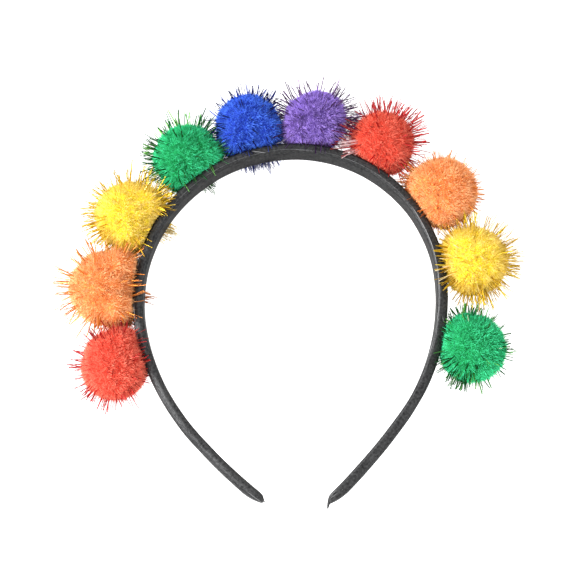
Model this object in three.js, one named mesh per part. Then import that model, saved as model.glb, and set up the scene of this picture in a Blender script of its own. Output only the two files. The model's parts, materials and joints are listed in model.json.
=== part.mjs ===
// A pompom headband: a bent strip covered in satin ribbon, with ten tinsel pompoms glued along its
// outer face. Millimetres, +Z up. It lies on its side, on its pompoms, with the crown towards +Y and
// both tips towards -Y. The origin is on the surface that it lies on, below the middle of its box.

import * as THREE from 'three';
import { mergeVertices } from 'three/addons/utils/BufferGeometryUtils.js';

// The covered strip. Its width stands upright here, because the headband lies on its side.
// BAND_FACET is the length of one flat facet along it, and BAND_HEIGHT is its middle above the surface.
const BAND_WIDTH = 10;
const BAND_THICKNESS = 4;
const BAND_CORNER = 1.5;
const BAND_CORNER_STEPS = 2;
const BAND_FACET = 6.5;
const BAND_HEIGHT = 13;

// Each leg leaves the crown square to the middle and runs to its tip through three bends, in degrees
// of sweep. The legs differ a little, because the strip is sprung open by hand.
const CROWN = { x: 1.35, y: 66.56 };
const LEFT_BENDS = [
  { radius: 62.4, sweep: 103.2 },
  { radius: 92.2, sweep: 28.5 },
  { radius: 206.6, sweep: 10.4 },
];
const RIGHT_BENDS = [
  { radius: 58.7, sweep: 87.3 },
  { radius: 84.3, sweep: 38.7 },
  { radius: 236.1, sweep: 10.8 },
];

// At each tip the outer face, the inner face and the width draw in over a length that ends at the tip.
const TIP_OUTER = { length: 9, depth: 1.7 };
const TIP_INNER = { length: 2.5, depth: 1.1 };
const TIP_WIDTH = { length: 7, depth: 4.5 };
const TIP_STATIONS = [0, 0.5, 1.2, 2.5, 4.5, 7];

// A pompom is a ball of cut pile in clumps, one on each facet of the ball, with slim tinsel locks out
// of some of them. The pile parts between clumps at a depth below the ball's radius, and a clump rises
// from there.
const BALL_DETAIL = 2;
const PILE_PARTING = { depth: 0.7, jitter: 0.3 };
const CLUMP_RISE = { least: 0.6, most: 1.5 };

// Share of the facets that carry a lock, its least length as a share of the longest, and its foot's
// share of a facet.
const LOCK_SHARE = 0.48;
const LOCK_LEAST = 0.45;
const LOCK_FOOT = 0.36;

// Least pull of each corner of a facet on a tip over it. A tip that would rise less than LEAST_RISE is
// left out.
const CORNER_PULL = 0.3;
const LEAST_RISE = 0.3;

// Spaces that the pieces keep: a pompom from the strip, and the locks of two pompoms from each other.
const GLUE_GAP = 0.3;
const LOCK_GAP = 0.4;

const RIBBON_ROUGHNESS = 0.45;
const PILE_ROUGHNESS = 0.9;
const COLOUR = {
  black: 0x3a3a3c,
  red: 0xf0523f,
  orange: 0xfb9a56,
  yellow: 0xfadf50,
  green: 0x2bae68,
  blue: 0x3355d2,
  purple: 0x7a5bb8,
};

// The rows run from the left tip to the right. along: place on the strip, from the crown towards the
// right tip. stand: ball centre from the strip's middle line. core: radius of the ball of pile.
// lock: length of the longest tinsel.
const POMPOMS = [
  { name: 'red_left', colour: 'red', along: -121.6, stand: 13.5, core: 13.4, lock: 5.5 },
  { name: 'orange_left', colour: 'orange', along: -94.2, stand: 14.5, core: 13.7, lock: 6.8 },
  { name: 'yellow_left', colour: 'yellow', along: -68.2, stand: 14.2, core: 13.1, lock: 6.0 },
  { name: 'green_left', colour: 'green', along: -39.7, stand: 12.8, core: 12.5, lock: 5.2 },
  { name: 'blue', colour: 'blue', along: -16.0, stand: 14.0, core: 12.9, lock: 3.6 },
  { name: 'purple', colour: 'purple', along: 7.7, stand: 13.8, core: 12.7, lock: 6.2 },
  { name: 'red_right', colour: 'red', along: 30.7, stand: 13.9, core: 12.7, lock: 5.5 },
  { name: 'orange_right', colour: 'orange', along: 57.0, stand: 14.5, core: 13.8, lock: 4.2 },
  { name: 'yellow_right', colour: 'yellow', along: 82.4, stand: 14.7, core: 13.4, lock: 6.0 },
  { name: 'green_right', colour: 'green', along: 112.4, stand: 13.8, core: 13.5, lock: 4.8 },
];

// One leg as a flat path from the crown, each bend carrying on smoothly from the one before.
// side is 1 or -1.
function legPath(bends, side) {
  const path = new THREE.Path();
  const end = new THREE.Vector2(CROWN.x, CROWN.y);
  let turned = 0;
  for (const { radius, sweep } of bends) {
    const start = Math.PI / 2 - side * turned;
    const outward = new THREE.Vector2(Math.cos(start), Math.sin(start));
    const centre = end.clone().addScaledVector(outward, -radius);
    turned += THREE.MathUtils.degToRad(sweep);
    const stop = Math.PI / 2 - side * turned;
    path.absarc(centre.x, centre.y, radius, start, stop, side > 0);
    end.set(centre.x + radius * Math.cos(stop), centre.y + radius * Math.sin(stop));
  }
  return path;
}

const LEGS = {
  left: { path: legPath(LEFT_BENDS, -1), side: -1 },
  right: { path: legPath(RIGHT_BENDS, 1), side: 1 },
};

// Place on the strip's middle line and its outward direction, at a distance from the crown along the strip.
function stripAt(along) {
  const { path, side } = along < 0 ? LEGS.left : LEGS.right;
  const share = Math.min(Math.abs(along) / path.getLength(), 1);
  const point = path.getPointAt(share);
  const heading = path.getTangentAt(share);
  return {
    middle: new THREE.Vector3(point.x, point.y, BAND_HEIGHT),
    outward: new THREE.Vector3(-heading.y * side, heading.x * side, 0),
  };
}

// Section of the strip as corners of a rounded rectangle, from -1 to 1 across the thickness and the width.
function stripSection() {
  const acrossInset = 1 - BAND_CORNER / (BAND_THICKNESS / 2);
  const uprightInset = 1 - BAND_CORNER / (BAND_WIDTH / 2);
  const points = [];
  for (let corner = 0; corner < 4; corner += 1) {
    const first = (corner * Math.PI) / 2;
    const across = corner === 0 || corner === 3 ? acrossInset : -acrossInset;
    const upright = corner < 2 ? uprightInset : -uprightInset;
    for (let step = 0; step <= BAND_CORNER_STEPS; step += 1) {
      const angle = first + (step / BAND_CORNER_STEPS) * (Math.PI / 2);
      points.push({
        across: across + (1 - acrossInset) * Math.cos(angle),
        upright: upright + (1 - uprightInset) * Math.sin(angle),
      });
    }
  }
  return points;
}

// How far a face has drawn in at a distance from the tip.
function drawnIn({ length, depth }, fromTip) {
  const share = Math.max(0, 1 - fromTip / length);
  return depth * share * share;
}

// Distances along the strip at which it is sectioned: even facets centred on the crown, and closer rows
// at the tips.
function stripStations() {
  const right = [];
  const left = [];
  const lastTipRow = TIP_STATIONS[TIP_STATIONS.length - 1];
  for (const [leg, rows] of [[LEGS.left, left], [LEGS.right, right]]) {
    const length = leg.path.getLength();
    const evenLength = length - lastTipRow - BAND_FACET / 2;
    const facets = Math.round(evenLength / BAND_FACET);
    for (let facet = 0; facet <= facets; facet += 1) {
      rows.push(BAND_FACET / 2 + (facet * evenLength) / facets);
    }
    for (const fromTip of TIP_STATIONS.slice(0, -1).reverse()) {
      rows.push(length - fromTip);
    }
  }
  return [...left.reverse().map((distance) => -distance), ...right];
}

// Closed solid through a row of sections that have the same number of points.
function loft(sections) {
  const around = sections[0].length;
  const index = [];
  for (let row = 0; row + 1 < sections.length; row += 1) {
    for (let point = 0; point < around; point += 1) {
      const next = (point + 1) % around;
      const a = row * around + point;
      const b = row * around + next;
      index.push(a, b, b + around, a, b + around, a + around);
    }
  }
  const last = (sections.length - 1) * around;
  for (let point = 1; point + 1 < around; point += 1) {
    index.push(0, point + 1, point, last, last + point, last + point + 1);
  }
  const geometry = new THREE.BufferGeometry().setFromPoints(sections.flat());
  geometry.setIndex(index);
  return geometry;
}

function bandGeometry() {
  const section = stripSection();
  const sections = stripStations().map((along) => {
    const { middle, outward } = stripAt(along);
    const leg = along < 0 ? LEGS.left : LEGS.right;
    const fromTip = leg.path.getLength() - Math.abs(along);
    const outer = BAND_THICKNESS / 2 - drawnIn(TIP_OUTER, fromTip);
    const inner = -BAND_THICKNESS / 2 + drawnIn(TIP_INNER, fromTip);
    const width = BAND_WIDTH - drawnIn(TIP_WIDTH, fromTip);
    return section.map(({ across, upright }) => {
      const radial = (outer + inner) / 2 + (across * (outer - inner)) / 2;
      const point = middle.clone().addScaledVector(outward, radial);
      point.z += (upright * width) / 2;
      return point;
    });
  });
  return loft(sections);
}

// Centre of each pompom's ball, standing out from the strip at half its width.
const BALLS = POMPOMS.map(({ along, stand, core }) => {
  const { middle, outward } = stripAt(along);
  return { centre: middle.clone().addScaledVector(outward, stand), outward, core };
});

// Flat limits that a pompom's pile is pressed against: the surface below, the strip, and the pompoms
// beside it.
function pompomLimits(order) {
  const { centre, outward, core } = BALLS[order];
  const limits = [
    { towards: new THREE.Vector3(0, 0, -1), distance: BAND_HEIGHT },
    {
      towards: outward.clone().negate(),
      distance: POMPOMS[order].stand - BAND_THICKNESS / 2 - GLUE_GAP,
    },
  ];
  for (const beside of [BALLS[order - 1], BALLS[order + 1]]) {
    if (beside) {
      const across = beside.centre.clone().sub(centre);
      const space = across.length() - core - beside.core;
      limits.push({ towards: across.normalize(), distance: core + space / 2 - LOCK_GAP / 2 });
    }
  }
  return limits;
}

// The length wanted along a direction from the ball's centre, or less where a limit is nearer.
function limitedReach(direction, wanted, limits) {
  let reach = wanted;
  for (const { towards, distance } of limits) {
    const facing = direction.dot(towards);
    if (facing > 0) {
      reach = Math.min(reach, distance / facing);
    }
  }
  return reach;
}

// Corner directions and facets of a geodesic ball.
function ballOfFacets() {
  const ball = new THREE.IcosahedronGeometry(1, BALL_DETAIL);
  ball.deleteAttribute('normal');
  ball.deleteAttribute('uv');
  const merged = mergeVertices(ball);
  const place = merged.getAttribute('position');
  const directions = [];
  for (let row = 0; row < place.count; row += 1) {
    directions.push(new THREE.Vector3().fromBufferAttribute(place, row));
  }
  const facets = [];
  const index = merged.getIndex().array;
  for (let row = 0; row < index.length; row += 3) {
    facets.push([index[row], index[row + 1], index[row + 2]]);
  }
  return { directions, facets };
}

const BALL = ballOfFacets();

// A number from least to most, the same on each run.
function between(least, most) {
  return least + (most - least) * THREE.MathUtils.seededRandom();
}

// A direction over a facet, leaning at random towards its corners. What stands along it never crosses
// the next facet.
function leaningDirection(facet, directions) {
  const direction = new THREE.Vector3();
  for (const corner of facet) {
    direction.addScaledVector(directions[corner], between(CORNER_PULL, 1));
  }
  return direction.normalize();
}

// Adds one facet of the ball, raised to a clump of pile. A lock is a slim spike that stands on the
// clump's top.
function addFacet(facet, ball, sizes, limits) {
  const { directions, points, index } = ball;
  const clumpWay = leaningDirection(facet, directions);
  const clump = clumpWay.clone().multiplyScalar(limitedReach(clumpWay, sizes.clump, limits));
  const plane = new THREE.Plane().setFromCoplanarPoints(...facet.map((corner) => points[corner]));
  if (plane.distanceToPoint(clump) < LEAST_RISE) {
    index.push(...facet);
    return;
  }
  const lockWay = leaningDirection(facet, directions);
  const lock = lockWay.clone().multiplyScalar(limitedReach(lockWay, sizes.lock, limits));
  const isTall = lock.length() > clump.length() + LEAST_RISE;
  const top = points.push(isTall ? lock : clump) - 1;
  const feet = isTall
    ? facet.map((corner) => points.push(clump.clone().lerp(points[corner], LOCK_FOOT)) - 1)
    : facet;
  for (let side = 0; side < 3; side += 1) {
    const next = (side + 1) % 3;
    if (isTall) {
      index.push(facet[side], facet[next], feet[next], facet[side], feet[next], feet[side]);
    }
    index.push(feet[side], feet[next], top);
  }
}

function pompomGeometry(order) {
  const { core, lock } = POMPOMS[order];
  const { centre } = BALLS[order];
  const limits = pompomLimits(order);
  THREE.MathUtils.seededRandom(order + 1);
  const turn = new THREE.Euler(between(0, Math.PI), between(0, Math.PI), between(0, Math.PI));
  const directions = BALL.directions.map((direction) => direction.clone().applyEuler(turn).normalize());
  const points = directions.map((direction) => {
    const parting = core - PILE_PARTING.depth + between(-PILE_PARTING.jitter, PILE_PARTING.jitter);
    return direction.clone().multiplyScalar(limitedReach(direction, parting, limits));
  });
  const ball = { directions, points, index: [] };
  for (const facet of BALL.facets) {
    const hasLock = between(0, 1) < LOCK_SHARE;
    const sizes = {
      clump: core - PILE_PARTING.depth + between(CLUMP_RISE.least, CLUMP_RISE.most),
      lock: hasLock ? core + lock * between(LOCK_LEAST, 1) : 0,
    };
    addFacet(facet, ball, sizes, limits);
  }
  const geometry = new THREE.BufferGeometry().setFromPoints(points.map((point) => point.add(centre)));
  geometry.setIndex(ball.index);
  return geometry;
}

function pieceMesh(name, geometry, colour, roughness) {
  const material = new THREE.MeshStandardMaterial({ color: colour, roughness, metalness: 0 });
  geometry.computeVertexNormals();
  const mesh = new THREE.Mesh(geometry, material);
  mesh.name = name;
  return mesh;
}

const headband = new THREE.Group();
headband.name = 'headband';
headband.add(pieceMesh('band', bandGeometry(), COLOUR.black, RIBBON_ROUGHNESS));
POMPOMS.forEach(({ name, colour }, order) => {
  headband.add(pieceMesh(`pompom_${name}`, pompomGeometry(order), COLOUR[colour], PILE_ROUGHNESS));
});

// The middle of the whole box comes over the origin. The lowest pile already lies on the surface.
const box = new THREE.Box3().setFromObject(headband);
const middle = box.getCenter(new THREE.Vector3());
headband.position.set(-middle.x, -middle.y, -box.min.z);

export default headband;
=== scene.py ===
"""Looks of the pompom headband: a satin-covered strip and ten tinsel pompoms around the solids, in metres."""

import json
import math

import bmesh
import bpy
import numpy as np
from bpy.props import FloatProperty, FloatVectorProperty, IntProperty, PointerProperty
from mathutils import Matrix, Vector, noise


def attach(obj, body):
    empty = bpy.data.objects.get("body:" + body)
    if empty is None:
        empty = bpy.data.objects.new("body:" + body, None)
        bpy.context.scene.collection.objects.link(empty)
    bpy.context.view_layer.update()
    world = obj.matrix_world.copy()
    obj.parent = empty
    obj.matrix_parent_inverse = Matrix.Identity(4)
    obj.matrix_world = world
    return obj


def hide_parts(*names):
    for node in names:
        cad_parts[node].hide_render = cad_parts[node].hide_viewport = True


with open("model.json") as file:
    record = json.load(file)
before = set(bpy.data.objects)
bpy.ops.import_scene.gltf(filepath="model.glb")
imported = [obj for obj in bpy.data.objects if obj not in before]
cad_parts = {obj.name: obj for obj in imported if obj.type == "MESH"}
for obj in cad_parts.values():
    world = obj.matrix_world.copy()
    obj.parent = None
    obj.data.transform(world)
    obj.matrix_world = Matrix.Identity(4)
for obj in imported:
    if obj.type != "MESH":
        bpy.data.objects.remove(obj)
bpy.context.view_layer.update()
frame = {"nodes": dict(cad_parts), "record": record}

bl_info = {
    "name": "Pompom Headband",
    "version": (1, 0, 0),
    "blender": (4, 5, 0),
    "location": "View3D > Sidebar > Headband",
    "description": "Makes a satin headband with tinsel pompoms around its solids",
    "category": "Add Mesh",
}

MM = 0.001
UP = Vector((0.0, 0.0, 1.0))
ORIGIN = (0.0, 0.0, 0.0)
BLACK = (0.0, 0.0, 0.0)
WHITE = (1.0, 1.0, 1.0)
NOISE_MIDDLE = (0.5, 0.5, 0.5)


def table(columns, *rows):
    """Rows of values as dictionaries, by the names of their columns."""
    return tuple(dict(zip(columns, row)) for row in rows)


# The strip, in millimetres, as the solids have it. The headband lies on its side, so the strip's width is
# upright. Each leg, -1 on the left and 1 on the right, is three arcs from the crown to its tip.
BAND_HEIGHT = 13.0
GLUE_GAP = 0.3
BEND_COLUMNS = ("radius", "sweep")
BENDS = {
    -1: table(BEND_COLUMNS, (62.4, 103.2), (92.2, 28.5), (206.6, 10.4)),
    1: table(BEND_COLUMNS, (58.7, 87.3), (84.3, 38.7), (236.1, 10.8)),
}

# The crown mount lies on the inner face's flat facet. It sags this far inside the round of the strip, and its
# middle is this far to the right of where the legs start.
CROWN_SAG = 0.085
CROWN_ASIDE = 0.03

# At each tip the outer face, the inner face and the width draw in over a length that ends at the tip.
TIP_OUTER = {"length": 9.0, "depth": 1.7}
TIP_INNER = {"length": 2.5, "depth": 1.1}
TIP_WIDTH = {"length": 7.0, "depth": 4.5}

# How far the ribbon stands off the solid's outer and inner faces, and its girth on its UV map, in metres.
RIBBON = {"outer": 0.1, "inner": 0.17}
RIBBON_GIRTH = 0.028

# The ribbon's overlap makes a low ridge along the strip's upper and lower edges.
# place: off the middle line, outward, at the crown. drift: further out for each millimetre along.
# crown_slope and leg_slope: fall on both sides of the ridge. change: where along one turns into the other.
# edge: where the fall starts and is whole, as shares of half the strip's width.
RIDGE = {
    "place": -0.8,
    "drift": -0.003,
    "crown_slope": 0.06,
    "leg_slope": 0.36,
    "change": (30.0, 90.0),
    "edge": (0.5, 0.85),
}

# Steps of the strip's section round a corner and along its thickness and width, and of its length.
CORNER_STEPS = 6
FLAT_STEPS = (3, 8)
STRIP_STEP = 1.4

# How uneven the pulled ribbon is. lane: picks one run of noise. pitch: length of a wave.
LANE_SPACING = 7.3
UNEVEN = {
    "outer": {"lane": 1, "height": 0.1, "pitch": 9.0},
    "inner": {"lane": 2, "height": 0.1, "pitch": 11.0},
    "upper": {"lane": 3, "height": 0.12, "pitch": 7.0},
    "lower": {"lane": 4, "height": 0.12, "pitch": 7.0},
}

# Woven edges of the ribbon that show as pale lines along the strip, partly a painted highlight, from first to
# last along it from the crown.
# upper: 1 on the strip's upper edge, -1 below. start and end: place across the strip. radius: of the bead.
SELVEDGES = table(
    ("upper", "first", "last", "start", "end", "radius", "seed"),
    (1, -62.0, 72.0, -0.7, -1.0, 0.045, 21),
    (1, -17.8, -11.8, 1.0, -1.4, 0.15, 23),
    (1, 1.0, 8.0, -1.2, -1.3, 0.045, 37),
    (1, 52.0, 125.0, -0.9, -2.0, 0.13, 25),
    (1, -116.0, -100.0, 1.5, 1.3, 0.2, 27),
    (1, -86.0, -76.0, 1.35, 1.5, 0.18, 29),
    (1, 103.5, 106.0, 0.1, 0.8, 0.14, 39),
    (1, -199.0, -190.0, 0.1, 0.9, 0.12, 33),
    (1, 183.0, 190.0, 0.3, -0.9, 0.06, 35),
    (-1, -120.0, 140.0, -0.9, -0.9, 0.12, 31),
)

# How a woven edge runs. sway: how far it wanders aside. swell: how much its bead thickens and thins.
# fade: share of its length over which it thins to its ends. thin_end: share of its radius that is left there.
SEAM = {
    "step": 1.2,
    "sides": 6,
    "sway": 0.14,
    "sway_pitch": 8.0,
    "swell": 0.45,
    "swell_pitch": 3.0,
    "fade": 0.12,
    "thin_end": 0.2,
}

# Loose ends of ribbon at the tips. turn: degrees from the strip's run, towards its outer face.
# upright: how far the end lifts.
LOOSE_ENDS = table(
    ("side", "length", "radius", "turn", "upright"),
    (-1, 2.0, 0.2, -25.0, 0.6),
    (1, 3.2, 0.6, 34.0, 0.6),
)
LOOSE_SHAPE = {"steps": 5, "sides": 8, "taper": 0.6, "flatness": 0.6, "weave_step": 0.4}

# One row for each pompom, from the left tip to the right, in millimetres.
# along: place on the strip from the crown. stand: ball centre from the strip's middle line.
# core: radius of the pile. spreads: how far the pile is pushed towards the pompom before and the one after.
# feet: how much further it is pushed beside the strip. strand: how far the longest tinsel stands out of the
# pile. foil: its width at the root, at most. strands: how many there would be if they grew evenly.
# tone: painted light, how much lighter the pile is painted than others of its colour; below zero, painted
# shade.
POMPOMS = table(
    ("name", "along", "stand", "core", "spreads", "feet", "strand", "foil", "strands", "tone"),
    ("red_left", -121.6, 13.5, 13.4, (0.0, 1.3), (0.0, 2.2), 6.1, 0.5, 380, 0.12),
    ("orange_left", -94.2, 14.5, 13.7, (1.2, 1.2), (3.8, 3.8), 8.7, 0.52, 330, 0.0),
    ("yellow_left", -68.2, 14.2, 13.1, (0.8, 0.8), (2.6, 2.6), 8.2, 0.48, 470, 0.0),
    ("green_left", -39.7, 12.8, 12.8, (1.0, 1.0), (2.0, 2.0), 7.6, 0.62, 370, -0.04),
    ("blue", -16.0, 14.0, 12.9, (0.6, 0.6), (2.2, 2.4), 5.2, 0.55, 380, 0.0),
    ("purple", 7.7, 13.8, 12.7, (1.4, -0.4), (2.6, 0.2), 9.6, 0.54, 400, 0.0),
    ("red_right", 30.7, 13.9, 12.7, (0.4, 0.4), (0.5, 1.2), 8.4, 0.62, 380, -0.17),
    ("orange_right", 57.0, 14.5, 14.1, (0.3, 0.3), (1.3, 1.0), 4.4, 0.5, 320, -0.05),
    ("yellow_right", 82.4, 14.7, 13.4, (0.5, 0.5), (1.3, 0.8), 8.1, 0.5, 480, 0.0),
    ("green_right", 113.0, 13.9, 13.6, (0.3, 0.0), (0.8, 0.0), 4.6, 0.6, 300, 0.04),
)

# Colours of the pile's roots and tips, as painted shade and painted light, and of tinsel's foil and its
# painted shade.
# face_painted_light: painted light added to tinsel on a pompom's upper and lower faces, against that at its
# sides; below zero it is painted shade.
COLOUR_ROWS = table(
    ("colour", "shade", "light", "foil", "dark", "face_painted_light"),
    ("red", (0.62, 0.042, 0.02), (0.82, 0.21, 0.14), (0.55, 0.055, 0.055), (0.33, 0.009, 0.01), -0.1),
    ("orange", (0.76, 0.22, 0.03), (0.87, 0.5, 0.25), (0.85, 0.36, 0.12), (0.56, 0.18, 0.032), -0.12),
    ("yellow", (0.84, 0.7, 0.006), (0.84, 0.635, 0.19), (0.9, 0.65, 0.05), (0.46, 0.27, 0.01), 0.22),
    ("green", (0.0, 0.175, 0.022), (0.066, 0.67, 0.315), (0.15, 0.42, 0.08), (0.008, 0.07, 0.018), -0.35),
    ("blue", (0.006, 0.018, 0.32), (0.085, 0.215, 0.79), (0.045, 0.07, 0.38), (0.008, 0.01, 0.06), -0.35),
    ("purple", (0.04, 0.008, 0.13), (0.45, 0.3, 0.81), (0.13, 0.06, 0.18), (0.04, 0.014, 0.055), -0.35),
)
COLOURS = {row["colour"]: row for row in COLOUR_ROWS}
# Pile roots and tips hold painted shade and painted light; dark tinsel holds painted shade.
COLOUR_PARTS = {
    "shade": "Roots of the {} pile",
    "light": "Tips of the {} pile",
    "foil": "Foil of the {} tinsel",
    "dark": "Foil of the {} tinsel where it is turned away from the light",
}

# Where tinsel grows thicker or longer than elsewhere on a pompom. bearing: degrees from +X towards +Y.
# rise: degrees above level. spread: half width in degrees. more and longer: added shares of the usual number
# and length.
TUFT_COLUMNS = ("bearing", "rise", "spread", "more", "longer")
TUFTS = {
    "red_left": table(
        TUFT_COLUMNS,
        (148, 0, 14, 1.2, 0.1),
        (115, 0, 26, -0.8, -0.15),
        (240, 0, 30, 1.6, -0.1),
        (272, 0, 9, 2.5, 0.1),
        (20, 25, 32, 1.6, -0.2),
    ),
    "orange_left": table(
        TUFT_COLUMNS,
        (170, 0, 24, 1.5, 0.2),
        (205, 0, 16, 1.0, 0.15),
        (236, 0, 14, 1.0, 0.15),
        (3, 33, 16, 1.5, 0.0),
    ),
    "yellow_left": table(
        TUFT_COLUMNS,
        (180, 0, 42, 1.5, 0.1),
        (60, 0, 28, 1.6, 0.1),
        (17, 24, 20, 2.5, 0.1),
        (332, 15, 34, -1.6, -0.3),
        (0, 90, 50, -0.6, 0.1),
    ),
    "green_left": table(
        TUFT_COLUMNS,
        (84, 0, 36, -0.5, 0.0),
        (106, 0, 13, 5.0, 0.25),
        (87, 0, 9, 5.0, 0.35),
        (62, 0, 14, 5.0, 0.25),
        (190, 0, 28, 1.2, 0.0),
    ),
    "blue": table(
        TUFT_COLUMNS,
        (55, 0, 34, 1.6, 0.1),
        (100, 0, 20, 0.8, 0.3),
    ),
    "purple": table(
        TUFT_COLUMNS,
        (125, 0, 17, 1.4, 0.1),
        (85, 0, 11, 1.5, 0.15),
        (40, 0, 26, 1.2, 0.15),
        (0, 0, 26, 3.0, 0.0),
        (330, 0, 26, -1.6, -0.3),
    ),
    "red_right": table(
        TUFT_COLUMNS,
        (70, 0, 48, 1.2, 0.2),
        (0, 0, 22, 1.0, 0.15),
        (190, 12, 28, 3.0, 0.35),
    ),
    "orange_right": table(
        TUFT_COLUMNS,
        (165, 5, 32, 2.2, 0.0),
        (215, 20, 34, 1.2, -0.1),
        (100, 0, 16, 0.5, 0.2),
        (260, 0, 22, 1.0, 0.0),
        (0, 90, 60, 1.2, -0.2),
    ),
    "yellow_right": table(
        TUFT_COLUMNS,
        (190, 12, 42, 1.8, 0.1),
        (0, 0, 42, 0.5, 0.1),
        (270, 0, 42, 1.2, 0.0),
        (0, 90, 50, -0.6, 0.1),
    ),
    "green_right": table(
        TUFT_COLUMNS,
        (30, 0, 11, 1.6, 0.3),
        (235, 0, 38, 3.0, 0.1),
        (238, 34, 30, 3.0, 0.1),
        (355, 0, 9, 1.6, 0.35),
        (90, 0, 42, 1.4, 0.05),
    ),
}

# Tinsel that grows low on a pompom and is swept level, so that it shows inside the headband under the strip.
UNDER_RISE = -40
UNDER_SWEEP = 1.3
UNDER_TUFTS = {
    "orange_left": table(TUFT_COLUMNS, (350, UNDER_RISE, 15, 9.0, 0.75)),
    "yellow_left": table(TUFT_COLUMNS, (345, UNDER_RISE, 22, 10.0, 0.95)),
    "green_left": table(TUFT_COLUMNS, (312, UNDER_RISE, 12, 14.0, 0.6)),
    "blue": table(TUFT_COLUMNS, (288, UNDER_RISE, 40, 15.0, 1.15)),
}

# Painted glints: where more of the tinsel is painted as catching the light. flash: added to the strands'
# brightness, from 0 to 1; below zero it paints shade.
FLASH_COLUMNS = ("bearing", "rise", "spread", "flash")
FLASHES = {
    "yellow_left": table(FLASH_COLUMNS, (345, UNDER_RISE, 30, 0.45)),
    "green_left": table(FLASH_COLUMNS, (322, 10, 24, 0.5)),
    "blue": table(FLASH_COLUMNS, (288, UNDER_RISE, 50, 0.72)),
    "purple": table(FLASH_COLUMNS, (215, 10, 20, 0.4), (10, 10, 24, 0.3)),
    "red_right": table(FLASH_COLUMNS, (196, 10, 32, 0.6)),
    "orange_right": table(FLASH_COLUMNS, (255, 0, 26, 0.4)),
    "yellow_right": table(FLASH_COLUMNS, (190, 20, 40, 0.3), (0, 0, 70, -0.12)),
    "green_right": table(FLASH_COLUMNS, (340, 60, 30, 0.8), (120, 55, 20, 0.7)),
}

# A tuft or a flash is whole up to the first share of its spread and gone at the second.
TUFT_FADE = (0.3, 1.2)

# Lumps of a ball: their height in millimetres, and how many fit along its radius.
LUMPS = table(("height", "count"), (0.55, 4.2), (0.3, 9.0))

# How finely a ball is divided, what sets its noise apart from the next ball's, and the room for pressed pile.
BALL_STEPS = 5
BALL_SEED = (17.3, 5.1)
PRESSED_PILE = 0.15

# Where a part of a ball starts and is whole, as the cosine of the angle to what it faces.
FACING = {
    "strip": (0.05, 0.5),
    "foot": (0.35, 0.75),
    "push": (0.45, 0.9),
    "between": (0.45, 0.8),
    "face": (0.3, 0.8),
    "low": (-0.1, 0.35),
    "inner": (0.1, 0.5),
}

# How tinsel grows, as shares of the usual number and length. patches: how uneven it is, and count: how many
# of them fit along a ball's radius.
THICK = {"patches": 1.8, "count": 2.6, "least": 0.1, "between": 0.3, "less_on_face": 0.65}
LONG = {"usual": 0.72, "patches": 0.45, "count": 1.8, "least": 0.4, "less_on_face": 0.5}
FACE_SWEEP = 0.6

# How pile grows: broad and fine clumps to a metre, and shares of a fibre's length, width and tone.
PILE = {
    "broad": 420.0,
    "fine": 1300.0,
    "clump_height": 1.8,
    "least_height": 0.4,
    # Painted shade: low clumps of pile get a darker tone.
    "low_clump_shade": 1.8,
    "middle_tone": 0.9,
    # Painted shade on the ball under the pile.
    "painted_heart_shade": 0.3,
    # Painted light: pile at a ball's sides is lighter than on its upper and lower faces.
    "painted_rim_light": 0.35,
    "tone": (-0.42, 0.42),
    "scatter": 0.5,
    "length": 0.75,
    "wisp": 0.9,
    "wisp_power": 5.0,
    "width": (0.7, 1.3),
}
FIBRE = {"Vertices": 3, "Radius Top": 0.0, "Radius Bottom": 0.5, "Depth": 1.0}

# How tinsel strands differ, as shares of their set length and width, and their section.
TINSEL = {
    "scatter": 0.24,
    "length": (0.45, 1.0),
    "tone": (0.0, 0.92),
    "bend": 0.5,
    "curl_power": 2.0,
    "narrow": 0.35,
    "broader": 0.65,
    "broad_power": 2.0,
    "points": 3,
    "taper": 0.15,
    "thickness": 0.4,
}

# One seed for each thing that is left to chance.
SEEDS = {
    "pile_way": 11,
    "pile_length": 12,
    "pile_width": 13,
    "pile_tone": 14,
    "tinsel_way": 21,
    "tinsel_length": 22,
    "tinsel_tone": 23,
    "tinsel_bend": 24,
    "tinsel_twist": 25,
    "tinsel_breadth": 26,
    "tinsel_place": 50,
}

# Fibres end this far before what is in their way, but are no shorter than this. Tinsel stays this far above
# the floor.
CLEAR_GAP = 0.3
LEAST_LENGTH = 0.1
FLOOR_GAP = 0.4

# Fibres may reach this far into the pile beside them. The floor that stops them reaches this far each way,
# in metres.
BESIDE_INSET = 1.0
FLOOR_REACH = 0.3

# Inputs of the pompoms' node group, by kind of socket.
TREE_INPUTS = {
    "NodeSocketGeometry": ("Geometry",),
    "NodeSocketFloat": (
        "Pile Density",
        "Pile Length",
        "Pile Width",
        "Pile Lean",
        "Pile Painted Light",
        "Tinsel Density",
        "Tinsel Length",
        "Tinsel Root",
        "Tinsel Width",
        "Tinsel Bend",
    ),
    "NodeSocketInt": ("Seed",),
    "NodeSocketObject": ("Keep Clear Of",),
    "NodeSocketMaterial": ("Pile Material", "Tinsel Material"),
}

# The pompoms' UV map: its margin, the room for tone and for distance along a fibre, and half a face's size.
BAKE_MAP = {"margin": 0.02, "tone": 0.96, "along": 0.45, "half_face": 0.006}

# How much a pile fibre's colour depends on its tone and on the distance along it, which paints shade at the
# root and light at the tip.
PILE_LIGHT = {"tone": 0.75, "along": 0.45}

# Painted glints of tinsel lie this share of the way from its foil to white.
PAINTED_GLINT_SHARE = 0.5

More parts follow.
